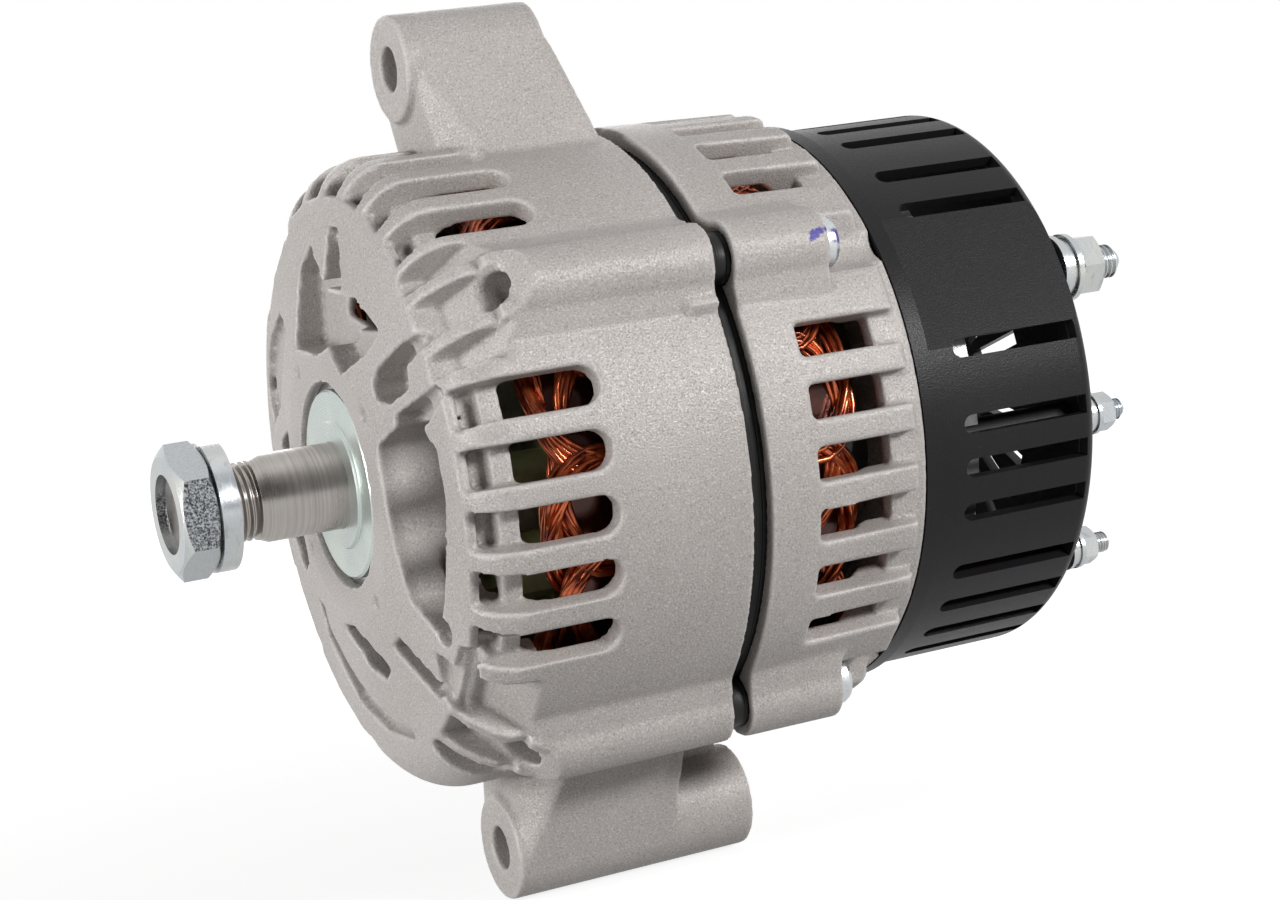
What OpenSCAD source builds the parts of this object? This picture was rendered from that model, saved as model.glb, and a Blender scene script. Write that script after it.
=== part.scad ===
// Belt-driven alternator. X runs along the shaft, pulley end at -X, terminals at +X, +Z up.
// The origin is on the shaft axis, at the face that the pulley seats against.

/* [Shaft end] */
// Diameter of the pulley journal
shaft_d = 20; // [18:0.5:22]
// Length of the plain journal in front of the seat
journal_len = 17.5; // [12:0.5:20]
// Thread diameter of the shaft end
thread_d = 18; // [14:0.5:19]
// Distance from the seat to the front of the nut
nut_reach = 39.5; // [36:0.5:50]
// Width of the shaft nut across its flats
nut_af = 27; // [24:1:32]
// Thickness of the shaft nut
nut_t = 8.5; // [6:0.5:10]
// Outer diameter of the spring washer
washer_d = 29.4; // [26:0.2:32]
// Thickness of the spring washer
washer_t = 4.4; // [3:0.2:5]
// Diameter of the seat disc
disc_d = 43.8; // [40:0.2:45]
// Thickness of the seat disc
disc_t = 3; // [2:0.2:5]
// Diameter of the raised inner step of the seat disc
disc_step_d = 30; // [26:0.5:34]

/* [Bearings] */
// Outer diameter of the front bearing
front_od = 52; // [50:1:54]
// Width of the front bearing
front_w = 15; // [13:0.5:16]
// Ball diameter of the front bearing
front_ball = 9.5; // [8:0.1:9.6]
// Balls in the front bearing
front_balls = 7; // [6:1:8]
// Bore of the rear bearing
rear_bore = 17; // [15:0.5:18]
// Outer diameter of the rear bearing
rear_od = 40; // [38:0.5:42]
// Width of the rear bearing
rear_w = 12; // [11:0.5:12.5]
// Ball diameter of the rear bearing
rear_ball = 6.7; // [6:0.1:7]
// Balls in the rear bearing
rear_balls = 8; // [6:1:9]

/* [Body] */
// Outer diameter of the two brackets
body_d = 146.2; // [144:0.2:150]
// Rear edge of the front bracket
gap_x = 69.2; // [66:0.2:71]
// Visible gap between the brackets
gap_w = 4.8; // [4:0.1:6]
// Rear face of the rear bracket
rear_x = 115.7; // [114:0.1:118]
// Step in radius from the barrel to the rear face of the rear bracket
rear_step = 4.9; // [4:0.1:5.5]
// Radius of the front shoulder
shoulder_r = 12; // [10:0.5:13]
// Front face of the rim below the hub face
face_drop = 5; // [4:0.25:6]
// Thickness of the front plate
front_plate = 11; // [10:0.5:12]
// Diameter of the front opening round the seat disc
lip_d = 47.6; // [46:0.2:49]
// Diameter of the front hub
hub_d = 62; // [60:1:66]
// Thickness of the rear end wall
rear_wall = 5; // [4:0.25:6]

/* [Cooling slots] */
// Width of a front bracket slot
slot_w = 8.6; // [7:0.2:9.4]
// Angle between neighbouring slots
slot_pitch = 11; // [10.8:0.1:11.2]
// Rear end of the front bracket slots
slot_end = 38; // [34:0.5:40]
// First edge of the rear bracket slots
rear_slot_x = 86; // [85:0.5:89]
// Last edge of the rear bracket slots
rear_slot_end = 106.5; // [102:0.5:107.5]
// Width of a cover slot
cover_slot_w = 4.4; // [3.5:0.1:5]
// First edge of the cover slots
cover_slot_x = 127; // [124:0.5:130]

/* [Ears and bolts] */
// Height of the upper ear hole over the shaft axis
ear_h = 92; // [90:0.5:96]
// Depth of the foot hole under the shaft axis
foot_h = 91.2; // [90:0.1:96]
// Diameter of the two mounting holes
ear_bore = 10.2; // [8:0.1:12]
// Diameter of the mounting bosses
boss_d = 24.6; // [22:0.2:26]
// Front face of both mounting bosses
boss_x = 26.8; // [25:0.2:30]
// Length of the upper ear along its hole
ear_len = 34.6; // [26:0.2:36]
// Length of the foot along its hole
foot_len = 61.2; // [56:0.2:64]
// Depth of the through bolts' axes inside the barrel's radius
bolt_inset = 0.5; // [0.2:0.1:0.8]
// Slope of the face that each bolt hole opens into, along the axis per radius
seat_slope = 0.8; // [0:0.1:1]
// Thread diameter of the through bolts
bolt_d = 5; // [4:0.5:5]
// Angle of the first through bolt above the near side
bolt_phi = 33.5; // [32:0.5:35]
// Outer radius of a bolt lobe about its bolt
lobe_r = 8.5; // [8:0.1:9]
// Rear face of the bolt lobes, where the bolt heads seat
head_x = 97.6; // [96:0.2:104]
// Radius and height of the bolt heads
head_r = 6; // [5:0.2:6.4]
head_t = 4.4; // [3:0.2:5]

/* [Stator and rotor] */
// Front face of the stator core
core_x = 44; // [42:0.5:46]
// Length of the stator core
core_len = 40; // [37:0.5:41]
// Wall of the brackets outside the stator core
core_wall = 3.9; // [3.6:0.1:4.3]
// Radial depth of the stator core
core_depth = 18.2; // [17.6:0.1:18.8]
// Slots in the stator core
core_slots = 36; // [36]
// Air gap between poles and stator
air_gap = 0.4; // [0.3:0.05:0.6]
// Length of an end turn beyond the core
end_turn = 17; // [14:0.5:18]
// Front face of the front claw pole
pole_x = 40; // [39:0.5:42]
// Length of the claw poles together
pole_len = 50; // [48:0.5:51]
// Thickness of a claw pole's disc
pole_disc = 12; // [10:0.5:13]
// Fingers on each claw pole
fingers = 6; // [6]
// Blades on each fan
blades = 11; // [9:1:13]
// Gap in radius from the front fan's tips to the core bore
fan_gap = 2; // [1.5:0.5:5]
// Gap in radius from the rear fan's tips to the core bore
rear_fan_gap = 5; // [3:0.5:8]

/* [Rectifier and brushes] */
// Front face of the negative heat sink
sink_x = 118; // [117.8:0.1:119]
// Thickness of the negative heat sink
sink_t = 3.5; // [3:0.1:4]
// Front face of the positive heat sink
plus_x = 131; // [130:0.25:132]
// Thickness of the positive heat sink
plus_t = 3.5; // [3:0.1:4]
// Gap in radius from the heat sinks to the outside of the cover
sink_gap = 6.5; // [6:0.25:8.5]
// Depth of the cover posts inside the cover's radius
post_inset = 12.5; // [12:0.25:14]
// Diameter of a diode can
diode_d = 12.7; // [11:0.1:13]
// Diameter of the slip rings
ring_d = 22; // [20:0.5:23]
// Width of a slip ring
ring_w = 9; // [8:0.25:10]
// Length of a brush
brush_len = 15; // [12:0.5:17]

/* [Cover and terminals] */
// Step in radius from the rear bracket's rear face to the cover wall
cover_step = 1.7; // [1.2:0.1:2.7]
// Rear face of the cover
cover_x = 163; // [160:0.5:166]
// Wall thickness of the cover
cover_t = 2.5; // [2:0.1:3]
// Depth of the cover's flat inside the cover's radius
flat_depth = 2.1; // [1:0.1:2.5]
// Free end of the large terminal
b_tip = 184; // [181:0.5:188]
// Free end of the middle terminal
w_tip = 176.5; // [175:0.5:180]
// Free end of the lower terminal
d_tip = 177.5; // [175:0.5:180]
// Thread diameter of the large terminal
b_d = 8; // [7:0.5:8.5]
// Radius of a stud that its free end, past the nut, is smaller by
end_step = 0.25; // [0.2:0.05:0.4]
// Thread diameter of the small terminals
s_d = 5; // [4:0.5:5.5]

/* [Hidden] */
$fn = 72;
fit = 0.05;
run = 0.3;

// Radii and stations that several pieces share
shaft_r = shaft_d / 2;
thread_r = thread_d / 2;
body_r = body_d / 2;
core_r = body_r - core_wall;
core_bore = 2 * (core_r - core_depth);
rear_d = body_d - 2 * rear_step;
cover_d = rear_d - 2 * cover_step;
cover_r = cover_d / 2;
flat_r = cover_r - flat_depth;
bolt_r = body_r - bolt_inset;
bore_r = core_bore / 2;
fan_tip = bore_r - fan_gap;
rear_fan_tip = bore_r - rear_fan_gap;
sink_r = cover_r - sink_gap;
core_end = core_x + core_len;
rear_edge = gap_x + gap_w;
pole_end = pole_x + pole_len;
pole_r = bore_r - air_gap;
front_brg_x = disc_t;
front_brg_end = front_brg_x + front_w;
rear_brg_end = rear_x - 1.7;
rear_brg_x = rear_brg_end - rear_w;
lip_r = lip_d / 2;
hub_r = hub_d / 2;
boss_r = boss_d / 2;
seat_r = 12;
bolt_hole_r = bolt_d / 2 + 0.1;
bolt_end = 31;
bolt_front = 20;
retainer_t = 2;
retainer_screw_r = front_od / 2 + 5.6;
retainer_screw_phi = 35;
hub_inner_r = retainer_screw_r + 4.4;
rear_hub_r = rear_od / 2 + 8;
bolt_angles = [for (i = [0:3]) bolt_phi + 90 * i];
step_r = body_r - 10;
// First and last angle of the flat step at each bolt boss
function seat_at(r) = bolt_front + (r - bolt_r) * seat_slope;
boss_steps = [[21.5, 44.5], [-67, -36.5], [201.5, 223], [113, 143.5]];

// Slot centres, as angles above the near side
near_slots = [for (i = [0:4]) 14.7 - slot_pitch * i];
far_slots = [for (a = near_slots) a + 180];
top_slots = [for (i = [0:5]) 50.2 + slot_pitch * i];
low_slots = [for (i = [0:2]) -109 - slot_pitch * i];
rear_near_slots = [for (i = [0:5]) 16.2 - slot_pitch * i];
rear_far_slots = [for (i = [0:5]) 196.2 - slot_pitch * i];
rear_low_slots = [for (i = [0:5]) -73.5 - slot_pitch * i];
cover_slots = [41.6, 10.6, -4.5, -13.3, -22.7, -37, -47, -57, -67, -77, -87, -100, -110, -120,
    -130, -143, -153, -163, -173, 174, 162, 152, 142, 130, 120, 110, 96, 86, 76, 66, 52];

// Rectifier angles
diode_angles = [-2, -30, -58, -106, -128, -176];
post_angles = [-82, -152, 162];
post_r = cover_r - post_inset;
post_d = 6;
diode_r = 45;
board_x = 128.5;
board_t = 1.5;
bush_r = 5;

// Places of the three terminals, from the cover's radius and their angles
b_at = at(cover_r - 10.4, 27);
w_at = at(cover_r - 9.8, -9.1);
d_at = at(cover_r - 7.2, -44.9);
b_sleeve_r = b_d / 2 + 1.4;
s_sleeve_r = s_d / 2 + 1.5;
sleeve_lip = 1.5;

// Slip rings and brushes
ring_r = ring_d / 2;
carrier_x = rear_x + 2.3;
ring_1_x = carrier_x + 3;
ring_2_x = ring_1_x + ring_w + 4;
carrier_end = ring_2_x + ring_w + 3;
brush_size = [5, 8];
holder_z = ring_r + 1.6;
holder_top = holder_z + 27.4;
brush_z = ring_r + run;
holder_x = rear_x + fit;
holder_end = carrier_end + 1;
spring_top = holder_top - 2;

function at(r, phi) = [-r * cos(phi), r * sin(phi)];

// Revolves a [radius, x] profile about the shaft axis
module spun() { rotate([0, 90, 0]) rotate_extrude() children(); }
// Extrudes a [y, z] outline along the shaft
module plate(x0, x1) { translate([x0, 0, 0]) rotate([90, 0, 90]) linear_extrude(x1 - x0) children(); }
// Turns what is drawn at the near side up by an angle
module around(phi) { rotate([-phi, 0, 0]) children(); }
// Extrudes an [x, t] outline outwards at the near side
module radial(r0, r1) { translate([0, -r0, 0]) rotate([90, 0, 0]) linear_extrude(r1 - r0) children(); }
module rod(x0, x1, r) { translate([x0, 0, 0]) rotate([0, 90, 0]) cylinder(h = x1 - x0, r = r); }
module rod_at(p, x0, x1, r) { translate([0, p[0], p[1]]) rod(x0, x1, r); }
module tube(x0, x1, r_in, r_out) {
    spun() translate([r_in, x0]) square([r_out - r_in, x1 - x0]);
}
module hex_rod(x0, x1, af) {
    translate([x0, 0, 0]) rotate([0, 90, 0]) cylinder(h = x1 - x0, r = af / sqrt(3), $fn = 6);
}
// A hexagon nut or head with its corners turned down, and a bore
module nut(x0, x1, af, bore_r) {
    difference() {
        intersection() {
            hex_rod(x0, x1, af);
            spun() polygon([[0, x0], [af * 0.48, x0], [af * 0.62, x0 + af * 0.08],
                [af * 0.62, x1 - af * 0.08], [af * 0.48, x1], [0, x1]]);
        }
        rod(x0 - 1, x1 + 1, bore_r);
    }
}
// A sector between two angles
module sector(r, a0, a1) {
    n = ceil((a1 - a0) / 40);
    step = (a1 - a0) / n;
    polygon(concat([[0, 0]], [for (i = [0:n]) at(r / cos(step / 2), a0 + i * step)]));
}
// A slot outline along X with one round end
module slot_shape(x0, x1, w) {
    translate([x0, -w / 2]) square([x1 - w / 2 - x0, w]);
    translate([x1 - w / 2, 0]) circle(d = w);
}

module lobe_shape(extra) {
    for (a = bolt_angles) rotate(-a) {
        translate([-bolt_r, 0]) circle(r = lobe_r + extra);
        polygon([[-body_r + 2, 13.5], [-bolt_r - 3.5, lobe_r - 0.9 + extra],
            [-bolt_r - 3.5, -lobe_r + 0.9 - extra], [-body_r + 2, -13.5], [-60, -13], [-60, 13]]);
    }
}
module core_outline(extra) {
    circle(r = core_r + extra);
    for (a = bolt_angles) translate(at(bolt_r, a)) circle(r = lobe_r - 2.7 + extra);
}

// Front bracket: the round shell, its hub, lobes, ear and foot, then all that is cut from it
module front_shell() {
    spun() difference() {
        union() {
            translate([0, shoulder_r + face_drop])
                square([body_r, gap_x - shoulder_r - face_drop]);
            translate([body_r - shoulder_r, shoulder_r + face_drop]) circle(r = shoulder_r);
            polygon([[0, 0], [hub_r, 0], [body_r - shoulder_r, face_drop],
                [body_r - shoulder_r, gap_x], [0, gap_x]]);
        }
        polygon([[hub_inner_r, front_plate], [body_r - 14, front_plate + 2],
            [body_r - 6, front_plate + 9], [body_r - 5, front_plate + 13],
            [body_r - 5, gap_x + 1], [0, gap_x + 1], [0, front_brg_end], [hub_inner_r, front_brg_end]]);
    }
}
module ear_block(h, x1) {
    hull() {
        translate([0, 0, h]) rod(boss_x + 1.6, x1, boss_r - 0.6, $fn = 32);
        translate([0, 0, h]) rod(boss_x + 4, x1 - 2, boss_r, $fn = 32);
        translate([46, -27, 52]) cube([gap_x - 46, 54, 8]);
        translate([34, -14, 56]) cube([10, 28, 10]);
    }
}
module foot_block() {
    mirror([0, 0, 1]) hull() {
        translate([0, 0, foot_h]) rod(boss_x + 1.6, 66, boss_r, $fn = 32);
        translate([42, -26, 54]) cube([gap_x - 42, 52, 8]);
        translate([32, -14, 58]) cube([10, 28, 8]);
    }
}
// The webs that carry the rear boss of the foot
module foot_web() {
    translate([60, -4, -foot_h]) cube([boss_x + foot_len - 64, 8, 16]);
    mirror([0, 0, 1]) rotate([90, 0, 0]) translate([0, 0, -7]) linear_extrude(14)
        polygon([[50, 66], [gap_x, 66], [gap_x, 72], [72, 84], [boss_x + foot_len - 8, foot_h],
            [50, foot_h]]);
}
module side_slots(angles, depth_r) {
    for (a = angles) around(a)
        radial(depth_r, body_r + 8) slot_shape(face_drop + 3.2, slot_end, slot_w);
    intersection() {
        spun() translate([body_r - 7.6, -1]) square([18, face_drop + 9]);
        for (a = angles) around(a) radial(depth_r, body_r + 8) translate([0, -slot_w / 2])
            square([face_drop + 12, slot_w]);
    }
}
// Steps of the shroud ring that show inside the slots
module shroud_ring() {
    difference() {
        spun() polygon([[55, face_drop + 2], [62, face_drop + 2], [62.6, face_drop + 7],
            [66.4, face_drop + 8], [66.8, face_drop + 12.5], [60, face_drop + 12.5],
            [55, front_plate + 1]]);
        plate(0, 30) polygon([[-31, 10], [-60, 16], [-60, -33], [-34, -25]]);
    }
}
module face_pockets() {
    // Long window beside the hub on the near side
    plate(-1, 30) polygon([[-32, 10], [-41, 14], [-51, 15], [-57, 9], [-58, -1], [-55, -13],
        [-50, -23.5], [-44, -31.5], [-34.5, -24.5], [-33, -13], [-32.5, 0]]);
    plate(-1, 9) polygon([[-41, 12], [-41, 16.5], [-60, 22.8], [-62.5, 20.5], [-52, 13]]);
    // Upper pocket with its three-cornered window
    plate(-1, 9) polygon([[18.5, 31.5], [14.5, 49], [6, 55], [-8, 43], [-12, 33], [0, 30]]);
    plate(-1, 9) polygon([[-7.5, 58.5], [-13.5, 57.5], [-16, 44], [-4, 45]]);
    plate(-1, 30) polygon([[-3, 44], [-23.5, 41.8], [-36.5, 34], [-13, 34.5], [1.5, 38]]);
    plate(-1, 7) polygon([[-6, 33], [-15, 25.5], [-29, 30], [-36, 34.5], [-12, 36]]);
    // Slanting pockets between the curved ribs
    plate(-1, 9.5) polygon([[-54.5, 33.7], [-57, 31.4], [-47.5, 27], [-47.7, 22], [-38.5, 18.8],
        [-33, 19.8], [-31.5, 23.5], [-34, 26.6], [-45, 31.4]]);
    plate(-1, 9.5) polygon([[-23.5, -33.5], [-18.5, -36], [-36, -46.6], [-41.5, -44.6]]);
    // Lower window and the groove inside the rim
    plate(-1, 30) polygon([[14.5, -33.5], [3, -33.2], [-13.5, -41.5], [-8, -45], [1.5, -42.5],
        [5, -38.5]]);
    plate(-1, 8.5) polygon([[34, -29], [28, -31], [29, -36.5], [15, -48], [2, -53.5], [-14, -55],
        [-16, -58.5], [3, -58.5], [19, -53.5], [34, -40]]);
    // Far side pockets and window, which mirror the near ones
    plate(-1, 9.5) polygon([[40, 18], [56, 12], [60, 22], [50, 34], [36, 40], [28, 35]]);
    plate(-1, 30) polygon([[33, 12], [46, 9], [54, -2], [52, -16], [44, -24], [34, -20], [32.5, -4]]);
    plate(-1, 9.5) polygon([[-40, -35.5], [-47.5, -38.2], [-52, -33.6], [-57.5, -33.6], [-54, -43],
        [-42, -50], [-39, -45]]);
    // Small hole below the long window
    rod_at([-46.5, -30.7], -1, 30, 3.2);
}
// Flat steps in front of the bolt bosses, with two curved ribs left standing on each
module boss_step_cuts() {
    difference() {
        intersection() {
            spun() polygon([[step_r, -1], [step_r + 24, -1], [step_r + 24, seat_at(step_r + 24)],
                [step_r, seat_at(step_r)]]);
            plate(-2, seat_at(step_r + 24) + 1) for (s = boss_steps) sector(100, s[0], s[1]);
        }
        intersection() {
            spun() polygon([[0, -2], [step_r - 0.5, -2], [step_r - 0.5, 5.2], [step_r + 4, 8.2],
                [step_r + 8, 12.6], [step_r + 14, bolt_front + 3], [step_r + 16, bolt_front + 9],
                [0, bolt_front + 9]]);
            for (a = bolt_angles) around(a) radial(step_r - 4, body_r + 5) for (t = [-6.4, 6.4])
                translate([-3, t - 1.6]) square([bolt_front + 12, 3.2]);
        }
    }
}
// Solid backs that close the shell behind the steps
module boss_backs() {
    intersection() {
        spun() translate([step_r - 3, front_plate + 3]) square([9.5, 9]);
        plate(front_plate, bolt_front + 5) for (s = boss_steps) sector(100, s[0] - 1, s[1] + 1);
    }
}
module front_bracket() {
    color("gainsboro") difference() {
        union() {
            boss_backs();
            bracket_casting();
        }
        boss_step_cuts();
    }
}
module bracket_casting() {
    difference() {
        union() {
            difference() {
                front_shell();
                side_slots(near_slots, 56);
                side_slots(far_slots, 56);
                side_slots(top_slots, 56);
                side_slots(low_slots, 56);
                face_pockets();
            }
            shroud_ring();
            plate(bolt_front, gap_x) lobe_shape(0);
            ear_block(ear_h, boss_x + ear_len);
            foot_block();
            foot_web();
            translate([0, 0, ear_h]) rod(boss_x, boss_x + ear_len, boss_r);
            translate([0, 0, -foot_h]) rod(boss_x, boss_x + foot_len, boss_r);
            for (a = [25, -50]) around(a) translate([0, -body_r - 0.4, 0]) rod(gap_x - 7, gap_x, 1.8);
        }
        // Inside of the shell, with the seat of the stator core
        spun() polygon([[0, front_brg_end], [hub_inner_r, front_brg_end], [hub_inner_r, front_plate],
            [body_r - 14, front_plate + 2], [body_r - 6, front_plate + 9],
            [body_r - 5, front_plate + 13], [body_r - 5, core_x], [0, core_x]]);
        plate(core_x, gap_x + 1) core_outline(fit);
        // Front bearing seat, opening and retainer screw holes
        rod(front_brg_x, front_brg_end + 1, front_od / 2 + fit);
        rod(-1, front_brg_x + 1, lip_r);
        for (i = [0:3]) around(retainer_screw_phi + 90 * i) {
            translate([0, -retainer_screw_r, 0]) rod(7, front_brg_end + 1, 2.05);
            translate([0, -retainer_screw_r + 0.8, -1.5]) rod(-1, 0.8, 2.2);
        }
        // Through bolt holes
        for (a = bolt_angles) {
            rod_at(at(bolt_r, a), bolt_front - 8, bolt_end - 1, 4);
            rod_at(at(bolt_r, a), bolt_end - 2, gap_x + 1, bolt_hole_r);
        }
        // Mounting holes, with a flat seat behind the upper one
        translate([0, 0, ear_h]) rod(boss_x + ear_len, gap_x + 2, boss_r - 0.8);
        translate([0, 0, ear_h]) rod(boss_x - 1, boss_x + ear_len + 1, ear_bore / 2);
        translate([0, 0, -foot_h]) rod(boss_x - 1, boss_x + foot_len + 1, ear_bore / 2);
    }
}

// Rear bracket: drafted shell with slots, end wall, hub and bolt lobes
module rear_bracket() {
    knuckle_x = rear_x - 3.4;
    color("lightgray") difference() {
        union() {
            difference() {
                spun() polygon([[0, rear_edge], [body_r, rear_edge], [body_r - 0.8, knuckle_x - 1.5],
                    [body_r - 2.4, knuckle_x], [rear_d / 2, knuckle_x], [rear_d / 2, rear_x],
                    [0, rear_x]]);
                for (g = [rear_near_slots, rear_far_slots, rear_low_slots, top_slots]) {
                    for (a = g) around(a) {
                        radial(52, body_r + 6) translate([rear_slot_x, -slot_w / 2 + 0.5])
                            square([rear_slot_end - rear_slot_x, slot_w - 1]);
                        radial(rear_d / 2, body_r + 6) translate([rear_slot_x + 2, -slot_w / 2 + 0.5])
                            square([knuckle_x - rear_slot_x, slot_w - 1]);
                    }
                }
            }
            intersection() {
                plate(rear_edge, head_x) lobe_shape(0);
                spun() polygon([[0, rear_edge], [90, rear_edge], [82, head_x], [0, head_x]]);
            }
        }
        // Inside, left open round the rear fan and the end turns
        difference() {
            spun() polygon([[0, rear_edge - 1], [0, rear_x - rear_wall], [body_r - 12, rear_x - rear_wall],
                [body_r - 8.4, rear_x - rear_wall - 5], [body_r - 8.4, core_end + end_turn],
                [body_r - 5.2, core_end + end_turn - 4], [body_r - 5.2, rear_edge - 1]]);
            rod(rear_brg_x - 1.5, rear_x, rear_hub_r);
        }
        plate(rear_edge - 1, core_end + 1) core_outline(fit);
        // Bearing seat and shaft opening
        rod(rear_brg_x - 2, rear_brg_end, rear_od / 2 + fit);
        rod(rear_brg_end - 1, rear_x + 1, rear_bore / 2 + 6);
        // Air openings in the end wall
        for (i = [0:9]) plate(rear_x - rear_wall - 1, rear_x + 1) rotate(i * 36 + 14) intersection() {
            difference() {
                circle(r = 50);
                circle(r = rear_hub_r + 4);
            }
            sector(60, -12.5, 12.5);
        }
        // Through bolts, cover posts and brush holder screws
        for (a = bolt_angles) rod_at(at(bolt_r, a), rear_edge - 1, head_x + 1, bolt_hole_r);
        for (a = bolt_angles) rod_at(at(bolt_r + 3.5, a), head_x, rear_x + 1, lobe_r);
        for (a = bolt_angles) rod_at(at(bolt_r, a), head_x, rear_x + 1, head_r + fit);
        for (a = post_angles) rod_at(at(post_r, a), rear_x - rear_wall + 0.5, rear_x + 1, post_d / 2 + fit);
        for (s = [-1, 1]) rod_at([s * 12.1, 21], rear_x - 6, rear_x + 1, 1.6);
    }
}

// Laminated core with round ears at the through bolts
module stator_core() {
    color("#1c1c1c") plate(core_x, core_end) difference() {
        core_outline(0);
        circle(r = bore_r);
        for (a = bolt_angles) translate(at(bolt_r, a)) circle(r = bolt_hole_r);
        for (i = [0:core_slots - 1]) rotate(i * 360 / core_slots) {
            translate([bore_r - 1, -1.25]) square([4, 2.5]);
            translate([bore_r + 2, -2.6]) square([9.4, 5.2]);
        }
    }
}
module end_turns(x0, x1) {
    spun() polygon([[bore_r + 3, x0 + 2], [bore_r + 5, x0], [core_r - 6.5, x0], [core_r - 4, x0 + 3],
        [core_r - 4, x1 - 3], [core_r - 6, x1], [bore_r + 3, x1]]);
}
module stator_winding() {
    color("#8c3b1c") {
        end_turns(core_x - end_turn, core_x - 1.5);
        mirror([1, 0, 0]) translate([-core_x - core_end, 0, 0])
            end_turns(core_x - end_turn, core_x - 1.5);
        for (i = [0:core_slots - 1]) rotate([i * 360 / core_slots, 0, 0])
            translate([core_x - 2, bore_r + 3.2, -2]) cube([core_len + 4, 7.4, 4]);
    }
}
module slot_liners() {
    color("ivory") for (i = [0:core_slots - 1]) rotate([i * 360 / core_slots, 0, 0]) {
        translate([core_x - 0.5, bore_r + 2.3, -2.5]) difference() {
            cube([core_len + 1, 8.9, 5]);
            translate([-1, -1, 0.4]) cube([core_len + 3, 9.4, 4.2]);
        }
    }
}
module through_bolts() {
    color("silver") for (a = bolt_angles) translate([0, at(bolt_r, a)[0], at(bolt_r, a)[1]]) {
        rod(bolt_end, head_x + 1, bolt_d / 2);
        difference() {
            spun() polygon([[0, head_x], [head_r, head_x], [head_r, head_x + head_t - 1.6],
                [head_r - 0.6, head_x + head_t - 0.6], [head_r - 2, head_x + head_t],
                [0, head_x + head_t]]);
            hex_rod(head_x + head_t - 2.4, head_x + head_t + 1, 3);
        }
    }
}

// The rotor: shaft first, then what turns with it
module shaft() {
    core_shaft_end = pole_end + 2;
    color("dimgray") spun() polygon([[0, -nut_reach + 2], [thread_r - 1.2, -nut_reach + 2],
        [thread_r, -nut_reach + 3.2], [thread_r, -journal_len - 2.5],
        [shaft_r, -journal_len], [shaft_r, front_brg_end], [seat_r, front_brg_end],
        [seat_r, core_shaft_end], [rear_bore / 2 + 2, core_shaft_end],
        [rear_bore / 2 + 2, rear_brg_x], [rear_bore / 2, rear_brg_x],
        [rear_bore / 2, rear_x + 1], [rear_bore / 2 - 1, rear_x + 1],
        [rear_bore / 2 - 1, carrier_end - 1], [rear_bore / 2 - 2, carrier_end], [0, carrier_end]]);
}
module shaft_nut() {
    color("lightsteelblue") nut(-nut_reach, -nut_reach + nut_t, nut_af, thread_r + fit);
}
module spring_washer() {
    x0 = -nut_reach + nut_t;
    color("lightsteelblue") difference() {
        tube(x0, x0 + washer_t, thread_r + fit, washer_d / 2);
        around(150) translate([x0 - 1, -washer_d, 0]) cube([washer_t + 2, washer_d, 1.4]);
    }
}
module seat_disc() {
    color("lightcyan") spun() polygon([[shaft_r + fit, 0], [disc_step_d / 2 - 0.5, 0],
        [disc_step_d / 2, 0.7], [disc_d / 2 - 0.5, 0.7], [disc_d / 2, 1.2], [disc_d / 2, disc_t - 0.4],
        [shaft_r + 4.5, disc_t - 0.4], [shaft_r + 4.5, disc_t], [shaft_r + fit, disc_t]]);
}

// Deep-groove ball bearings, from the same rules at both ends
module outer_race(x0, w, od, pitch_r, ball_d) {
    color("silver") spun() difference() {
        translate([pitch_r + ball_d * 0.3, x0]) square([od / 2 - pitch_r - ball_d * 0.3, w]);
        translate([pitch_r, x0 + w / 2]) circle(d = ball_d + 2 * run);
        for (x = [x0 - 1, x0 + w - 1.4]) translate([0, x]) square([pitch_r + ball_d * 0.3 + 1, 2.4]);
    }
}
module inner_race(x0, w, bore, pitch_r, ball_d) {
    color("silver") spun() difference() {
        translate([bore / 2 + fit, x0]) square([pitch_r - ball_d * 0.3 - bore / 2 - fit, w]);
        translate([pitch_r, x0 + w / 2]) circle(d = ball_d + 2 * run);
    }
}
module balls(x, pitch_r, ball_d, n) {
    color("white") for (i = [0:n - 1]) around(i * 360 / n)
        translate([x, -pitch_r, 0]) sphere(d = ball_d);
}
module cage(x, pitch_r, ball_d, n) {
    color("tan") difference() {
        tube(x - ball_d / 2 - 1.3, x + ball_d / 2 + 1.3, pitch_r - 1.2, pitch_r + 1.2);
        for (i = [0:n - 1]) around(i * 360 / n) radial(pitch_r - 3, pitch_r + 3)
            translate([x, 0]) square(ball_d + 0.2, center = true);
    }
}
module seals(x0, w, pitch_r, ball_d) {
    color("#222222") for (x = [x0 + 0.2, x0 + w - 1.2])
        tube(x, x + 1, pitch_r - ball_d * 0.3 + run, pitch_r + ball_d * 0.3 + 0.9);
}
front_pitch = (shaft_r + front_od / 2) / 2;
rear_pitch = (rear_bore / 2 + rear_od / 2) / 2;
front_mid = front_brg_x + front_w / 2;
rear_mid = rear_brg_x + rear_w / 2;
module front_bearing_outer() { outer_race(front_brg_x, front_w, front_od, front_pitch, front_ball); }
module front_bearing_inner() { inner_race(front_brg_x, front_w, shaft_d, front_pitch, front_ball); }
module front_bearing_balls() { balls(front_mid, front_pitch, front_ball, front_balls); }
module front_bearing_cage() { cage(front_mid, front_pitch, front_ball, front_balls); }
module front_bearing_seals() { seals(front_brg_x, front_w, front_pitch, front_ball); }
module rear_bearing_outer() { outer_race(rear_brg_x, rear_w, rear_od, rear_pitch, rear_ball); }
module rear_bearing_inner() { inner_race(rear_brg_x, rear_w, rear_bore, rear_pitch, rear_ball); }
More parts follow.
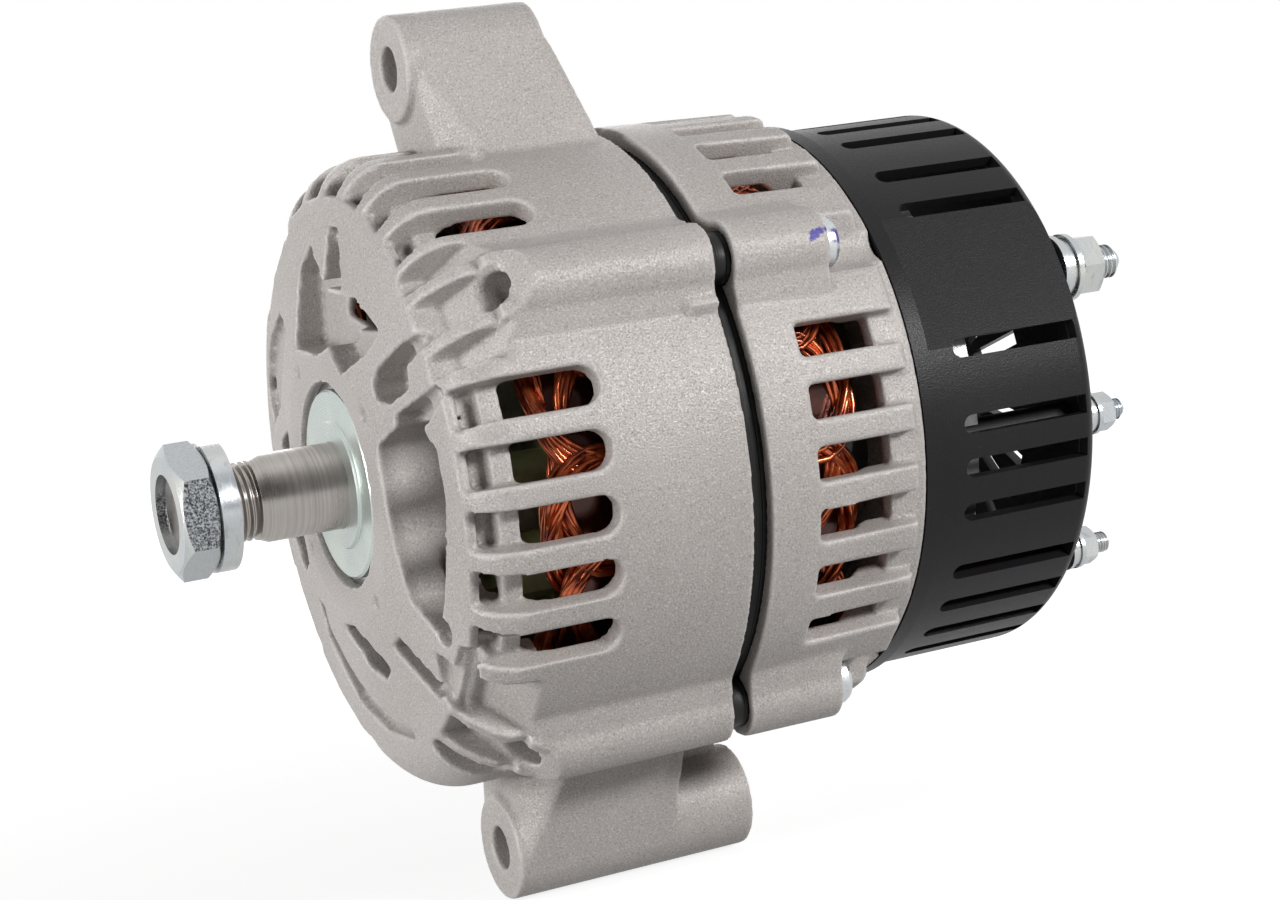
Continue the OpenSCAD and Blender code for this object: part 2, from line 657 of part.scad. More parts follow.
module rear_bearing_balls() { balls(rear_mid, rear_pitch, rear_ball, rear_balls); }
module rear_bearing_cage() { cage(rear_mid, rear_pitch, rear_ball, rear_balls); }
module rear_bearing_seals() { seals(rear_brg_x, rear_w, rear_pitch, rear_ball); }
module bearing_retainer() {
    color("silver") plate(front_brg_end, front_brg_end + retainer_t) difference() {
        circle(r = hub_inner_r - 0.5);
        circle(r = front_pitch + front_ball * 0.3 + 1);
        for (i = [0:3]) translate(at(retainer_screw_r, retainer_screw_phi + 90 * i)) circle(r = 2.05);
    }
}
module retainer_screws() {
    x0 = front_brg_end + retainer_t;
    color("silver") for (i = [0:3]) around(retainer_screw_phi + 90 * i)
        translate([0, -retainer_screw_r, 0]) {
            rod(x0 - 12, x0 + 1, 2);
            difference() {
                rod(x0, x0 + 2.6, 3.8);
                hex_rod(x0 + 1, x0 + 3, 2.5);
            }
        }
}

// One claw pole, drawn as the front one: half the core, the disc and its fingers
module claw_pole(turn) {
    finger_len = pole_len - 4;
    color("gray") intersection() {
        union() {
            tube(pole_x, pole_x + pole_len / 2, seat_r + fit, bore_r - 30);
            difference() {
                tube(pole_x, pole_x + pole_disc, seat_r + fit, pole_r);
                for (i = [0:fingers - 1]) around(turn + (i + 0.5) * 360 / fingers)
                    radial(34, pole_r + 5) translate([pole_x - 1, -8]) square([pole_disc + 2, 16]);
            }
            for (i = [0:fingers - 1]) around(turn + i * 360 / fingers) radial(bore_r - 10, pole_r + 2)
                polygon([[pole_x, -12], [pole_x + pole_disc, -12], [pole_x + finger_len, -5],
                    [pole_x + finger_len, 5], [pole_x + pole_disc, 12], [pole_x, 12]]);
        }
        spun() polygon([[seat_r - 1, pole_x], [pole_r - 2, pole_x], [pole_r, pole_x + 2],
            [pole_r, pole_end], [seat_r - 1, pole_end]]);
    }
}
module front_claw_pole() { claw_pole(0); }
module rear_claw_pole() {
    translate([pole_x + pole_end, 0, 0]) mirror([1, 0, 0]) claw_pole(180 / fingers);
}
bobbin_r = bore_r - 30 + 0.2;
bobbin_x = pole_x + pole_disc + 0.2;
bobbin_end = pole_end - pole_disc - 0.2;
module field_bobbin() {
    color("ivory") spun() polygon([[bobbin_r, bobbin_x], [bore_r - 11, bobbin_x],
        [bore_r - 11, bobbin_x + 1.2], [bobbin_r + 1.4, bobbin_x + 1.2],
        [bobbin_r + 1.4, bobbin_end - 1.2], [bore_r - 11, bobbin_end - 1.2],
        [bore_r - 11, bobbin_end], [bobbin_r, bobbin_end]]);
}
module field_coil() {
    color("#8c3b1c") tube(bobbin_x + 1.25, bobbin_end - 1.25, bobbin_r + 1.45, bore_r - 11.6);
}
// A sheet-metal fan: a disc on the claw pole and bent-up blades
module blade_shape(tip) {
    difference() {
        translate([-tip + 11, -12]) circle(r = 16);
        translate([-tip + 11, -12]) circle(r = 14.6);
        translate([-tip - 22, -40]) square([80, 26]);
        translate([-tip + 17, -60]) square([60, 120]);
        difference() {
            circle(r = 90);
            circle(r = tip);
        }
    }
}
module fan(x0, x1, tip, disc_x) {
    plate(disc_x, disc_x + 1.4) difference() {
        circle(r = tip - 6);
        circle(r = seat_r + fit);
    }
    for (i = [0:blades - 1]) plate(x0, x1) rotate(i * 360 / blades) blade_shape(tip);
}
module front_fan() {
    color("olivedrab") fan(pole_x - 16, pole_x - 0.1, fan_tip, pole_x - 1.5);
}
module rear_fan() {
    color("olivedrab") fan(pole_end + 0.1, pole_end + 13.5, rear_fan_tip, pole_end + 0.1);
}
module slip_ring_carrier() {
    color("#5a2d1a") spun() polygon([[rear_bore / 2 - 1 + fit, carrier_x], [ring_r, carrier_x],
        [ring_r, ring_1_x - 0.1], [ring_r - 1.6, ring_1_x - 0.1],
        [ring_r - 1.6, ring_1_x + ring_w + 0.1], [ring_r, ring_1_x + ring_w + 0.1],
        [ring_r, ring_2_x - 0.1], [ring_r - 1.6, ring_2_x - 0.1],
        [ring_r - 1.6, carrier_end - 2], [rear_bore / 2 - 1 + fit, carrier_end - 2]]);
}
module slip_rings() {
    color("peru") for (x = [ring_1_x, ring_2_x]) tube(x, x + ring_w, ring_r - 1.55, ring_r);
}

// Rectifier: two C-shaped heat sinks with the connection board between them
module sink_shape() {
    difference() {
        intersection() {
            circle(r = sink_r);
            sector(sink_r + 12, -208, 47);
        }
        circle(r = 31);
    }
}
module negative_heat_sink() {
    color("silver") for (a = post_angles) translate([0, at(post_r, a)[0], at(post_r, a)[1]])
        tube(rear_x, sink_x, post_d / 2 + 0.1, 6.5);
    color("silver") plate(sink_x, sink_x + sink_t) difference() {
        sink_shape();
        for (a = diode_angles) translate(at(diode_r, a)) circle(r = diode_d / 2 + fit);
        for (a = post_angles) translate(at(post_r, a)) circle(r = post_d / 2 + 0.1);
        translate(b_at) circle(r = b_d / 2 + 4.5);
        for (p = [w_at, d_at]) translate(p) circle(r = s_d / 2 + 3);
    }
}
module diode_set(x0, lead_end) {
    for (a = diode_angles) translate([0, at(diode_r, a)[0], at(diode_r, a)[1]]) {
        rod(x0, x0 + 7, diode_d / 2);
        rod(x0 + 6, lead_end, 0.8);
    }
}
module negative_diodes() { color("silver") diode_set(sink_x, board_x + board_t); }
module positive_diodes() { color("silver") diode_set(plus_x, plus_x + 11); }
module connection_board() {
    color("#2b2b2b") plate(board_x, board_x + board_t) difference() {
        union() {
            sink_shape();
            for (p = [w_at, d_at]) translate(p) circle(r = s_d / 2 + 1.9);
        }
        for (a = diode_angles) translate(at(diode_r, a)) circle(r = 0.9);
        for (a = post_angles) translate(at(post_r, a)) circle(r = bush_r + 0.1);
        translate(b_at) circle(r = b_d / 2 + 4.5);
        for (p = [w_at, d_at]) translate(p) circle(r = s_d / 2 + fit);
    }
}
module positive_heat_sink() {
    color("silver") plate(plus_x, plus_x + plus_t) difference() {
        sink_shape();
        for (a = diode_angles) translate(at(diode_r, a)) circle(r = diode_d / 2 + fit);
        for (a = post_angles) translate(at(post_r, a)) circle(r = bush_r + 0.1);
        translate(b_at) circle(r = b_d / 2 + fit);
        for (p = [w_at, d_at]) translate(p) circle(r = s_sleeve_r + 0.6);
    }
}
module stack_bushings() {
    color("ivory") for (a = post_angles) translate([0, at(post_r, a)[0], at(post_r, a)[1]])
        spun() polygon([[post_d / 2 + 0.1, sink_x + sink_t], [bush_r + 2, sink_x + sink_t],
            [bush_r + 2, board_x], [bush_r, board_x], [bush_r, plus_x + plus_t],
            [post_d / 2 + 0.1, plus_x + plus_t]]);
}
module cover_posts() {
    color("lightsteelblue") for (a = post_angles)
        translate([0, at(post_r, a)[0], at(post_r, a)[1]]) difference() {
            rod(rear_x - rear_wall + 0.6, cover_x - cover_t, post_d / 2);
            rod(cover_x - 14, cover_x, 1.7);
        }
}
module post_nuts() {
    x0 = plus_x + plus_t;
    color("lightsteelblue") for (a = post_angles)
        translate([0, at(post_r, a)[0], at(post_r, a)[1]]) nut(x0, x0 + 5, 10, post_d / 2 + fit);
}
module cover_screws() {
    color("lightsteelblue") for (a = post_angles)
        translate([0, at(post_r, a)[0], at(post_r, a)[1]]) {
            rod(cover_x - 12, cover_x + 1, 1.6);
            difference() {
                spun() polygon([[0, cover_x], [4, cover_x], [4, cover_x + 1.4], [2.8, cover_x + 2.6],
                    [0, cover_x + 2.8]]);
                hex_rod(cover_x + 1.2, cover_x + 4, 2.5);
            }
        }
}

// Brush gear
brush_x = [ring_1_x + ring_w / 2, ring_2_x + ring_w / 2];
module brush_holder() {
    color("#3a3a3a") difference() {
        union() {
            translate([holder_x, -9, holder_z]) cube([holder_end - holder_x, 18, holder_top - holder_z]);
            translate([holder_x, -16, 15.5]) cube([3.2, 32, 11]);
        }
        for (x = brush_x) translate([x - brush_size[0] / 2 - 0.1, -brush_size[1] / 2 - 0.1, holder_z - 1])
            cube([brush_size[0] + 0.2, brush_size[1] + 0.2, spring_top - holder_z + 1]);
        for (s = [-1, 1]) rod_at([s * 12.1, 21], holder_x - 1, holder_x + 5, 1.7);
    }
}
module holder_screws() {
    color("silver") for (s = [-1, 1]) translate([0, s * 12.1, 21]) {
        rod(rear_x - 5, holder_x + 4, 1.5);
        rod(holder_x + 3.2, holder_x + 5.6, 2.9);
    }
}
module brush(x) {
    color("#2a2624") translate([x - brush_size[0] / 2, -brush_size[1] / 2, brush_z])
        cube([brush_size[0], brush_size[1], brush_len]);
}
module inner_brush() { brush(brush_x[0]); }
module outer_brush() { brush(brush_x[1]); }
// A wire spring, swept as rings along a helix
spring_turns = 4;
spring_steps = 14;
wire_sides = 6;
spring_r = 1.8;
wire_r = 0.3;
function ring_points(i, z0, z1) = let (
    n = spring_turns * spring_steps, a = 360 * i / spring_steps,
    z = z0 + wire_r + (z1 - z0 - 2 * wire_r) * i / n)
    [for (j = [0:wire_sides - 1]) let (b = 360 * j / wire_sides, r = spring_r + wire_r * cos(b))
        [r * cos(a), r * sin(a), z + wire_r * sin(b)]];
module spring(x, z0, z1) {
    n = spring_turns * spring_steps;
    s = wire_sides;
    points = [for (i = [0:n]) each ring_points(i, z0, z1)];
    sides = [for (i = [0:n - 1]) for (j = [0:s - 1])
        [i * s + j, (i + 1) * s + j, (i + 1) * s + (j + 1) % s, i * s + (j + 1) % s]];
    ends = [[for (j = [0:s - 1]) j], [for (j = [0:s - 1]) n * s + s - 1 - j]];
    color("silver") translate([x, 0, 0]) polyhedron(points, concat(sides, ends));
}
module inner_spring() { spring(brush_x[0], brush_z + brush_len + fit, spring_top - fit); }
module outer_spring() { spring(brush_x[1], brush_z + brush_len + fit, spring_top - fit); }
module regulator() {
    color("#303030") {
        translate([holder_x + 6, 9, 20]) cube([15, 22, 22]);
        for (i = [0:5]) translate([holder_x + 8, 31, 21 + i * 3.6]) cube([11, 3, 1.6]);
    }
}

// Terminals
module b_stud() {
    color("lightsteelblue") translate([0, b_at[0], b_at[1]]) {
        spun() polygon([[0, plus_x - 4], [b_d / 2 + 1.4, plus_x - 4], [b_d / 2 + 1.4, plus_x],
            [b_d / 2, plus_x], [b_d / 2, b_nut_end + run], [b_d / 2 - end_step, b_nut_end + run],
            [b_d / 2 - end_step, b_tip - 1.5], [b_d / 2 - 1.5, b_tip], [0, b_tip]]);
    }
}
module small_stud(p, tip) {
    color("lightsteelblue") translate([0, p[0], p[1]]) spun() polygon([[0, board_x - 3],
        [s_d / 2 + 2, board_x - 3], [s_d / 2 + 2, board_x], [s_d / 2, board_x],
        [s_d / 2, s_nut_end + run], [s_d / 2 - end_step, s_nut_end + run], [s_d / 2 - end_step, tip - 2],
        [s_d / 2 - 1.5, tip], [0, tip]]);
}
module w_stud() { small_stud(w_at, w_tip); }
module d_stud() { small_stud(d_at, d_tip); }
module sleeve(p, x0, r_in, r_out) {
    translate([0, p[0], p[1]]) tube(x0, cover_x + sleeve_lip, r_in, r_out);
}
module stud_insulators() {
    color("#1a1a1a") {
        sleeve(b_at, plus_x + plus_t, b_d / 2 + fit, b_sleeve_r);
        for (p = [w_at, d_at]) sleeve(p, board_x + board_t, s_d / 2 + fit, s_sleeve_r);
    }
}
b_stack = cover_x + sleeve_lip;
b_nut_end = b_stack + 11.9;
s_nut_end = b_stack + 7.6;
module b_washers() {
    color("lightsteelblue") translate([0, b_at[0], b_at[1]]) {
        tube(b_stack, b_stack + 1.6, b_d / 2 + fit, b_d);
        tube(b_stack + 1.7, b_stack + 3.7, b_d / 2 + fit, b_d * 0.9);
        tube(b_stack + 3.8, b_stack + 5.2, b_d / 2 + fit, b_d);
    }
}
module small_stack(p) {
    translate([0, p[0], p[1]]) {
        tube(b_stack, b_stack + 1, s_d / 2 + fit, s_d);
        tube(b_stack + 1.1, b_stack + 2.3, s_d / 2 + fit, s_d * 0.9);
        tube(b_stack + 2.4, b_stack + 3.4, s_d / 2 + fit, s_d);
    }
}
module small_washers() {
    color("lightsteelblue") for (p = [w_at, d_at]) small_stack(p);
}
module b_nut() {
    color("lightsteelblue") translate([0, b_at[0], b_at[1]]) rotate([30, 0, 0])
        nut(b_stack + 5.2, b_nut_end, b_d * 1.625, b_d / 2 + fit);
}
module small_nuts() {
    color("lightsteelblue") for (p = [w_at, d_at])
        translate([0, p[0], p[1]]) nut(b_stack + 3.4, s_nut_end, s_d * 1.6, s_d / 2 + fit);
}

// Rear cover: a thin cap with a flat, side slots and rear openings
module cap(r, flat, x1, corner) {
    intersection() {
        spun() {
            translate([0, rear_x]) square([r, x1 - corner - rear_x]);
            translate([0, rear_x]) square([r - corner, x1 - rear_x]);
            translate([r - corner, x1 - corner]) circle(r = corner);
        }
        around(25.5) translate([rear_x - 1, -flat, -100]) cube([80, flat + 100, 200]);
    }
}
module rear_cover() {
    r = cover_d / 2;
    color("#262626") difference() {
        union() {
            cap(r, flat_r, cover_x, 3.5);
            tube(rear_x, rear_x + 4, 50, rear_d / 2);
        }
        difference() {
            translate([-1, 0, 0]) cap(r - cover_t, flat_r - cover_t, cover_x - cover_t + 1, 2);
            for (a = post_angles) rod_at(at(post_r, a), cover_x - 20, cover_x, 5.2);
        }
        translate([rear_x - 2, 0, 0]) rod(0, 3, r - cover_t);
        for (a = cover_slots) around(a) radial(r - 9, r + 9)
            mirror([1, 0]) slot_shape(-cover_x + 3, -cover_slot_x, cover_slot_w);
        for (i = [0:23]) plate(cover_x - cover_t - 1, cover_x + 1) rotate(i * 15) intersection() {
            difference() {
                circle(r = 40);
                circle(r = 20);
            }
            translate([-60, -1.7]) square([60, 3.4]);
        }
        translate([0, b_at[0], b_at[1]]) rod(cover_x - 6, cover_x + 1, b_sleeve_r + 0.1);
        for (p = [w_at, d_at]) rod_at(p, cover_x - 6, cover_x + 1, s_sleeve_r + 0.1);
        for (a = post_angles) {
            rod_at(at(post_r, a), cover_x - 6, cover_x + 1, 1.8);
            rod_at(at(post_r, a), cover_x - 22, cover_x - cover_t, post_d / 2 + 0.1);
        }
    }
}

front_bracket();
rear_bracket();
stator_core();
stator_winding();
slot_liners();
through_bolts();
shaft();
shaft_nut();
spring_washer();
seat_disc();
front_bearing_outer();
front_bearing_inner();
front_bearing_balls();
front_bearing_cage();
front_bearing_seals();
bearing_retainer();
retainer_screws();
rear_bearing_outer();
rear_bearing_inner();
rear_bearing_balls();
rear_bearing_cage();
rear_bearing_seals();
front_claw_pole();
rear_claw_pole();
field_bobbin();
field_coil();
front_fan();
rear_fan();
slip_ring_carrier();
slip_rings();
negative_heat_sink();
negative_diodes();
connection_board();
positive_heat_sink();
positive_diodes();
stack_bushings();
cover_posts();
post_nuts();
brush_holder();
holder_screws();
inner_brush();
outer_brush();
inner_spring();
outer_spring();
regulator();
b_stud();
w_stud();
d_stud();
stud_insulators();
b_washers();
small_washers();
b_nut();
small_nuts();
rear_cover();
cover_screws();
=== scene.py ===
"""Belt-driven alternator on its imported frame: castings, windings, shaft, terminals, finishes."""

import math
import random

import bmesh
import bpy
from mathutils import Matrix, Vector


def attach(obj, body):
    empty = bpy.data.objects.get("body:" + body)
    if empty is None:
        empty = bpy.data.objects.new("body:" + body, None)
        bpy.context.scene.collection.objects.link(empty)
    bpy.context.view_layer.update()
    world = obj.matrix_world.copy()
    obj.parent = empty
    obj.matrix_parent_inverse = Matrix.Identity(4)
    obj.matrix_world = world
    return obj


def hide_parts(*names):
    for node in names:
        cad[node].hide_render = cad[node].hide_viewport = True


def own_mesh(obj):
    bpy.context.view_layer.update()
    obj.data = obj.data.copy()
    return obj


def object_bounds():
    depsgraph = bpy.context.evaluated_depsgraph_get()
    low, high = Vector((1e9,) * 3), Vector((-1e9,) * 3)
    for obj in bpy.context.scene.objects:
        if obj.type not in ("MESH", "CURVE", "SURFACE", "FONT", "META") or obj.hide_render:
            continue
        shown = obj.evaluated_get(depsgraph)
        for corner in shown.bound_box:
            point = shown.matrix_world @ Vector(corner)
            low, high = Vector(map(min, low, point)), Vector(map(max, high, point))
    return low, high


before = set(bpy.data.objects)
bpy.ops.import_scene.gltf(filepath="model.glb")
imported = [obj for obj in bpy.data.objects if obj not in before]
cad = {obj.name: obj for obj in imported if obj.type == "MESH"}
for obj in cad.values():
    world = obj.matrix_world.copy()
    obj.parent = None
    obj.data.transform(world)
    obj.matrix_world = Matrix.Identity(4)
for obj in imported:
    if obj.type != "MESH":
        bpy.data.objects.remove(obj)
cad_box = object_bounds()
MM = 0.001
PAINT_BLUE = (0.085, 0.075, 0.33)


# ---------------------------------------------------------------- finishes

class Finish:
    """A node material whose detail sits on Object coordinates."""

    def __init__(self, name, metallic, roughness, specular=0.5):
        self.material = bpy.data.materials.new(name)
        self.material.use_nodes = True
        self.tree = self.material.node_tree
        self.shader = self.tree.nodes["Principled BSDF"]
        self.shader.inputs["Metallic"].default_value = metallic
        self.shader.inputs["Roughness"].default_value = roughness
        self.shader.inputs["Specular IOR Level"].default_value = specular
        self.coords = self.node("ShaderNodeTexCoord").outputs["Object"]
        self.normal = None

    def node(self, kind, **settings):
        made = self.tree.nodes.new(kind)
        for key, value in settings.items():
            setattr(made, key, value)
        return made

    def link(self, source, target):
        self.tree.links.new(source, target)

    def stretched(self, scale):
        """Object coordinates stretched along the three axes."""
        mapping = self.node("ShaderNodeMapping")
        mapping.inputs["Scale"].default_value = scale
        self.link(self.coords, mapping.inputs["Vector"])
        return mapping.outputs["Vector"]

    def noise(self, scale, detail=2.0, rough=0.5, vector=None):
        made = self.node("ShaderNodeTexNoise")
        made.inputs["Scale"].default_value = scale
        made.inputs["Detail"].default_value = detail
        made.inputs["Roughness"].default_value = rough
        self.link(vector or self.coords, made.inputs["Vector"])
        return made.outputs["Fac"]

    def ramp(self, fac, low, high, low_value=0.0, high_value=1.0):
        made = self.node("ShaderNodeMapRange")
        made.inputs["From Min"].default_value = low
        made.inputs["From Max"].default_value = high
        made.inputs["To Min"].default_value = low_value
        made.inputs["To Max"].default_value = high_value
        self.link(fac, made.inputs["Value"])
        return made.outputs["Result"]

    def mix(self, fac, first, second):
        """Mixes two colours, each a value or a socket."""
        made = self.node("ShaderNodeMix", data_type="RGBA")
        self.link(fac, made.inputs[0])
        for socket, value in ((made.inputs[6], first), (made.inputs[7], second)):
            if isinstance(value, tuple):
                socket.default_value = (*value, 1.0)
            else:
                self.link(value, socket)
        return made.outputs[2]

    def colour(self, socket):
        self.link(socket, self.shader.inputs["Base Color"])

    def roughness(self, socket):
        self.link(socket, self.shader.inputs["Roughness"])

    def bump(self, height, distance, strength=1.0):
        """Adds one layer of relief, its height in metres."""
        made = self.node("ShaderNodeBump")
        made.inputs["Strength"].default_value = strength
        made.inputs["Distance"].default_value = distance
        self.link(height, made.inputs["Height"])
        if self.normal:
            self.link(self.normal, made.inputs["Normal"])
        self.normal = made.outputs["Normal"]
        self.link(self.normal, self.shader.inputs["Normal"])

    def size_of(self, socket):
        """The value without its sign."""
        made = self.node("ShaderNodeMath", operation="ABSOLUTE")
        self.link(socket, made.inputs[0])
        return made.outputs[0]

    def dabs(self, tone, points, reach, ragged=3.8 * MM, soft=0.6 * MM):
        """Blue assembly paint round each point, with a brushed edge."""
        brush = self.noise(420, 3, 0.7)
        for point in points:
            away = self.node("ShaderNodeVectorMath", operation="DISTANCE")
            self.link(self.coords, away.inputs[0])
            away.inputs[1].default_value = point
            edge = self.node("ShaderNodeMath", operation="MULTIPLY_ADD")
            self.link(brush, edge.inputs[0])
            edge.inputs[1].default_value = ragged
            self.link(away.outputs["Value"], edge.inputs[2])
            mark = self.ramp(edge.outputs[0], reach + soft, reach)
            tone = self.mix(mark, tone, PAINT_BLUE)
        return tone


def cast_aluminium(name, paint=()):
    """Die-cast skin, lightly blasted: fine sandy grain over a soft, uneven sheen, with painted
    shade in concave corners and recesses and a painted highlight along convex edges.
    """
    skin = Finish(name, metallic=0.06, roughness=0.44, specular=0.28)
    broad = skin.ramp(skin.noise(26, 3), 0.35, 0.68)
    tone = skin.mix(broad, (0.47, 0.436, 0.412), (0.525, 0.49, 0.468))
    grain = skin.noise(2300, 1, 0.5)
    speck = skin.ramp(grain, 0.55, 0.78, 0, 0.6)
    pit = skin.ramp(grain, 0.45, 0.22, 0, 0.6)
    tone = skin.mix(speck, tone, (0.8, 0.79, 0.77))
    tone = skin.mix(pit, tone, (0.2, 0.188, 0.175))
    form = skin.node("ShaderNodeNewGeometry").outputs["Pointiness"]
    # Painted shade: Pointiness darkens concave corners and recesses towards dark grey, where shade
    # falls.
    painted_crease_shade = skin.ramp(form, 0.495, 0.44, 0, 0.72)
    # Painted highlight: Pointiness lightens the convex edges, where rounded edges catch the light.
    edges = skin.ramp(form, 0.515, 0.57, 0, 0.6)
    tone = skin.mix(painted_crease_shade, tone, (0.13, 0.117, 0.108))
    tone = skin.mix(edges, tone, (0.82, 0.79, 0.765))
    skin.colour(skin.dabs(tone, paint, 2.5 * MM) if paint else tone)
    skin.roughness(skin.ramp(grain, 0.3, 0.7, 0.54, 0.36))
    skin.bump(skin.noise(170, 2), 0.0004, 0.2)
    skin.bump(grain, 0.00025, 0.55)
    return skin.material


def machined_aluminium():
    """Turned faces of the castings and the rectifier plates."""
    face = Finish("machined_aluminium", metallic=0.7, roughness=0.4)
    lines = face.noise(900, 2, vector=face.stretched((1.0, 0.05, 1.0)))
    face.colour(face.mix(lines, (0.24, 0.24, 0.235), (0.4, 0.4, 0.39)))
    face.roughness(face.ramp(lines, 0.3, 0.7, 0.5, 0.34))
    face.bump(lines, 0.00008, 0.5)
    return face.material


def plated_zinc(name, cold, warm, rough_low, rough_high, metallic=0.9):
    """Bright zinc with a faint cold and yellow bloom and fine handling marks."""
    plate = Finish(name, metallic=metallic, roughness=rough_low)
    bloom = plate.ramp(plate.noise(90, 3), 0.35, 0.65)
    scuffs = plate.noise(700, 3, vector=plate.stretched((1.0, 0.35, 0.35)))
    tone = plate.mix(bloom, cold, warm)
    tone = plate.mix(plate.ramp(scuffs, 0.58, 0.75, 0, 0.5), tone, tuple(v * 0.45 for v in cold))
    plate.colour(tone)
    plate.roughness(plate.ramp(scuffs, 0.3, 0.7, rough_low, rough_high))
    plate.bump(scuffs, 0.00006, 0.5)
    return plate.material


def nut_zinc():
    """Zinc with four smooth hexagon flats and bright turned faces; the two flats that face along Y
    keep a rough grain and are painted near black, a painted dark reflection.
    """
    plate = Finish("nut_zinc", metallic=0.9, roughness=0.25)
    facing = plate.node("ShaderNodeSeparateXYZ")
    plate.link(plate.node("ShaderNodeTexCoord").outputs["Normal"], facing.inputs[0])
    turned = plate.ramp(plate.size_of(facing.outputs["X"]), 0.1, 0.3)
    grain = plate.noise(2400, 2, 0.6)
    # Painted dark reflection: the two flats facing along Y get near-black grain, while the other
    # flats stay light zinc.
    grainy_painted_dark_flats = plate.mix(plate.ramp(grain, 0.38, 0.66), (0.035, 0.037, 0.04), (0.42, 0.44, 0.46))
    smooth = plate.mix(plate.ramp(grain, 0.35, 0.65), (0.42, 0.44, 0.45), (0.52, 0.54, 0.56))
    upright = plate.size_of(facing.outputs["Z"])
    flats = plate.mix(plate.ramp(upright, 0.3, 0.6), grainy_painted_dark_flats, smooth)
    bloom = plate.ramp(plate.noise(110, 3), 0.35, 0.65)
    bright = plate.mix(bloom, (0.5, 0.53, 0.55), (0.6, 0.61, 0.58))
    plate.colour(plate.mix(turned, flats, bright))
    plate.roughness(plate.ramp(turned, 0, 1, 0.36, 0.22))
    plate.bump(grain, 0.0001, 0.5)
    return plate.material


def disc_plating():
    """Pale greenish plating with the rings that the lathe left."""
    plate = Finish("disc_plating", metallic=0.82, roughness=0.3)
    rings = plate.node("ShaderNodeTexWave", wave_type="RINGS", rings_direction="X")
    rings.inputs["Scale"].default_value = 480
    rings.inputs["Distortion"].default_value = 1.2
    plate.link(plate.coords, rings.inputs["Vector"])
    bloom = plate.ramp(plate.noise(70, 3), 0.35, 0.7)
    tone = plate.mix(bloom, (0.56, 0.62, 0.6), (0.66, 0.71, 0.66))
    tone = plate.mix(plate.ramp(rings.outputs["Fac"], 0.7, 1, 0, 0.25), tone, (0.36, 0.4, 0.39))
    plate.colour(tone)
    plate.roughness(plate.ramp(rings.outputs["Fac"], 0, 1, 0.24, 0.38))
    plate.bump(rings.outputs["Fac"], 0.00004, 0.4)
    return plate.material


def turned_steel():
    """Bare shaft steel: dark, oiled, with fine turning rings and rubbed patches."""
    steel = Finish("turned_steel", metallic=0.9, roughness=0.35)
    rings = steel.noise(1.0, 3, 0.6, vector=steel.stretched((1900, 22, 22)))
    smears = steel.noise(120, 4, 0.65, vector=steel.stretched((1.0, 0.5, 0.5)))
    tone = steel.mix(rings, (0.26, 0.245, 0.23), (0.66, 0.62, 0.585))
    tone = steel.mix(steel.ramp(smears, 0.52, 0.72, 0, 0.65), tone, (0.36, 0.33, 0.3))
    steel.colour(tone)
    steel.roughness(steel.ramp(smears, 0.3, 0.7, 0.42, 0.22))
    steel.bump(rings, 0.00012, 0.5)
    return steel.material


def ground_steel():
    """Bearing races, balls and other clean hard steel."""
    steel = Finish("ground_steel", metallic=0.95, roughness=0.2)
    marks = steel.noise(600, 3, vector=steel.stretched((1.0, 0.2, 0.2)))
    steel.colour(steel.mix(marks, (0.5, 0.5, 0.5), (0.68, 0.68, 0.67)))
    steel.roughness(steel.ramp(marks, 0.3, 0.7, 0.15, 0.3))
    return steel.material


def dark_iron(name, tone_low, tone_high, lamination=False):
    """Lacquered or forged iron; the stator core shows the edges of its sheets."""
    iron = Finish(name, metallic=0.35, roughness=0.5)
    clouds = iron.noise(160, 4, 0.6)
    iron.colour(iron.mix(clouds, tone_low, tone_high))
    iron.roughness(iron.ramp(clouds, 0.3, 0.7, 0.36, 0.62))
    if lamination:
        sheets = iron.noise(1.0, 0, vector=iron.stretched((2200, 4, 4)))
        iron.bump(sheets, 0.0004, 0.8)
    iron.bump(clouds, 0.0002, 0.4)
    return iron.material


def enamelled_copper(name, dark, bright):
    """Winding wire under baked red-brown varnish."""
    wire = Finish(name, metallic=0.75, roughness=0.22)
    wire.shader.inputs["Coat Weight"].default_value = 0.35
    wire.shader.inputs["Coat Roughness"].default_value = 0.12
    varnish = wire.ramp(wire.noise(240, 3), 0.35, 0.65)
    wire.colour(wire.mix(varnish, dark, bright))
    wire.bump(wire.noise(900, 2), 0.0001, 0.35)
    return wire.material


def moulded_black(name, low, high, rough_low, rough_high, grain_depth):
    """Glass-filled black plastic with a fine spark-eroded grain."""
    shell = Finish(name, metallic=0.0, roughness=rough_low, specular=0.2)
    grain = shell.noise(2600, 2, 0.6)
    flow = shell.noise(38, 3)
    tone = shell.mix(flow, low, high)
    tone = shell.mix(shell.ramp(grain, 0.66, 0.78, 0, 0.35), tone, (0.1, 0.097, 0.1))
    shell.colour(tone)
    shell.roughness(shell.ramp(grain, 0.3, 0.7, rough_low, rough_high))
    shell.bump(flow, 0.0004, 0.15)
    shell.bump(grain, grain_depth, 0.6)
    return shell.material


def passivated_sheet():
    """Olive-yellow passivation on the pressed fans."""
    sheet = Finish("olive_passivation", metallic=0.6, roughness=0.36)
    bloom = sheet.ramp(sheet.noise(110, 3), 0.32, 0.68)
    sheet.colour(sheet.mix(bloom, (0.16, 0.165, 0.075), (0.36, 0.345, 0.17)))
    sheet.roughness(sheet.ramp(bloom, 0, 1, 0.42, 0.28))
    sheet.bump(sheet.noise(800, 2), 0.0001, 0.4)
    return sheet.material


